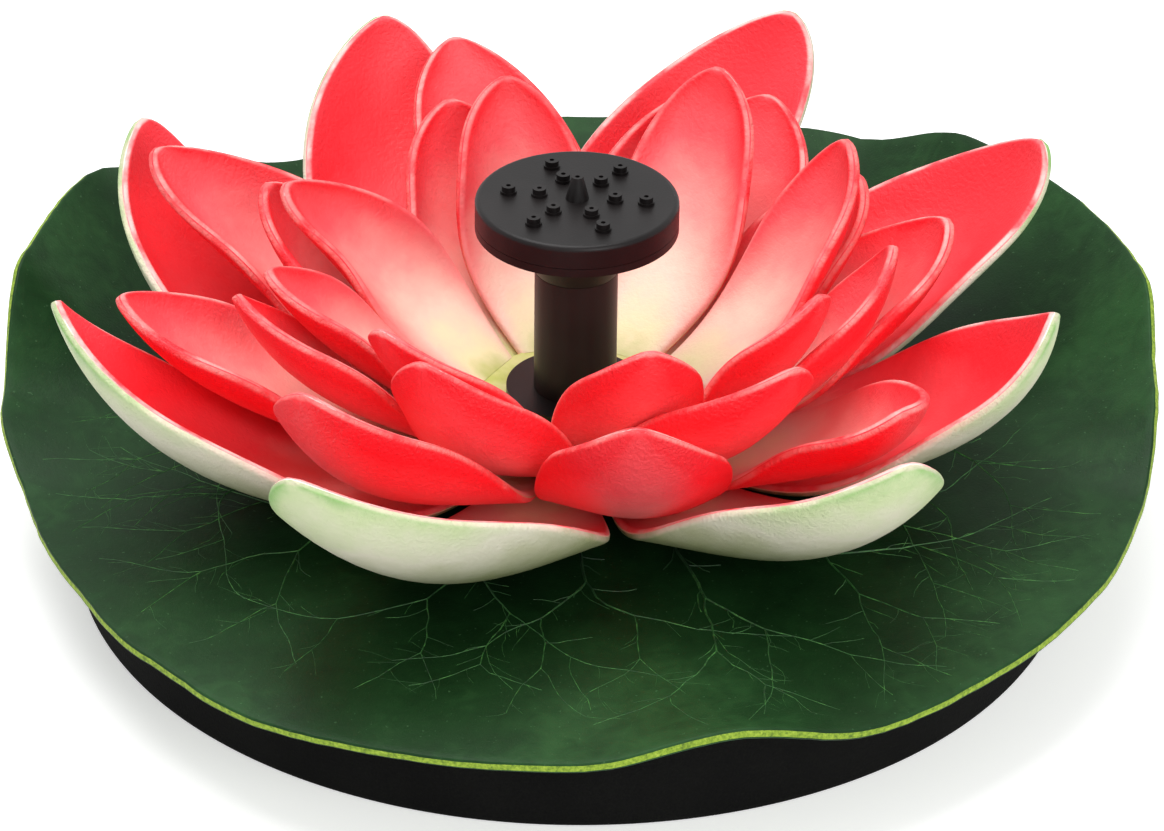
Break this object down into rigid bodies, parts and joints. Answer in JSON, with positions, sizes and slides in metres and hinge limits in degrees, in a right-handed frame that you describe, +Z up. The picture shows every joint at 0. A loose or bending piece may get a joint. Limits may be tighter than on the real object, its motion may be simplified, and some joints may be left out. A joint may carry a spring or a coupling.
{
  "type": "floating fountain",
  "caption": "Floating fountain: a foam lotus flower on a wavy lily-pad leaf and a round float, with a small pump below and a round multi-jet spray head on a stem in the middle.",
  "frame": {"origin": "centre of the float's underside, on the stem's axis", "axes": "+Z up along the stem; -Y is the front of the picture; +X is its right"},
  "size_m": [0.2188, 0.2212, 0.0796],
  "materials": {
    "float_foam": "closed-cell foam, matte",
    "leaf_foam": "thin foam sheet, satin, printed dark green",
    "petal_outer_foam": "thin foam sheet, white-green outside, pink to red inside",
    "petal_red_foam": "thin foam sheet, red with a pale root",
    "black_plastic": "satin moulded plastic",
    "grey_plastic": "moulded plastic",
    "seal_rubber": "soft rubber",
    "motor_steel": "laminated steel",
    "coil_wire": "enamelled copper wire",
    "circuit_board": "fibre board with solder mask",
    "magnet_ferrite": "sintered ferrite",
    "shaft_ceramic": "polished ceramic",
    "screw_steel": "stainless steel",
    "filter_sponge": "open-cell foam"
  },
  "bodies": {
    "base": {"float_base": "float_foam", "leaf_pad": "leaf_foam", "outer_petals": "petal_outer_foam", "second_petals": "petal_red_foam", "third_petals": "petal_red_foam", "inner_petals": "petal_red_foam", "stem_collar": "black_plastic", "pump_housing": "black_plastic", "motor_pod": "grey_plastic", "pod_lid": "grey_plastic", "pod_seal": "seal_rubber", "stator_core": "motor_steel", "stator_coils": "coil_wire", "driver_board": "circuit_board", "rotor_shaft": "shaft_ceramic", "upper_bush": "seal_rubber", "lower_bush": "seal_rubber", "inlet_plate": "black_plastic", "cover_screws": "screw_steel", "sponge_filter": "filter_sponge", "intake_screen": "black_plastic", "cable_gland": "seal_rubber"},
    "rotor": {"rotor_magnet": "magnet_ferrite", "impeller": "grey_plastic"},
    "riser": {"riser_tube": "black_plastic"},
    "spray_head": {"spray_cup": "black_plastic", "spray_plate": "black_plastic"}
  },
  "joints": [
    {"name": "rotor_spin", "type": "hinge", "parent": "base", "child": "rotor", "pos_m": [0, 0, 0.0096], "axis": [0, 0, 1], "continuous": true},
    {"name": "riser_lift", "type": "slide", "parent": "base", "child": "riser", "axis": [0, 0, 1], "range_m": [0, 0.008]},
    {"name": "head_lift", "type": "slide", "parent": "riser", "child": "spray_head", "axis": [0, 0, 1], "range_m": [0, 0.008]}
  ]
}
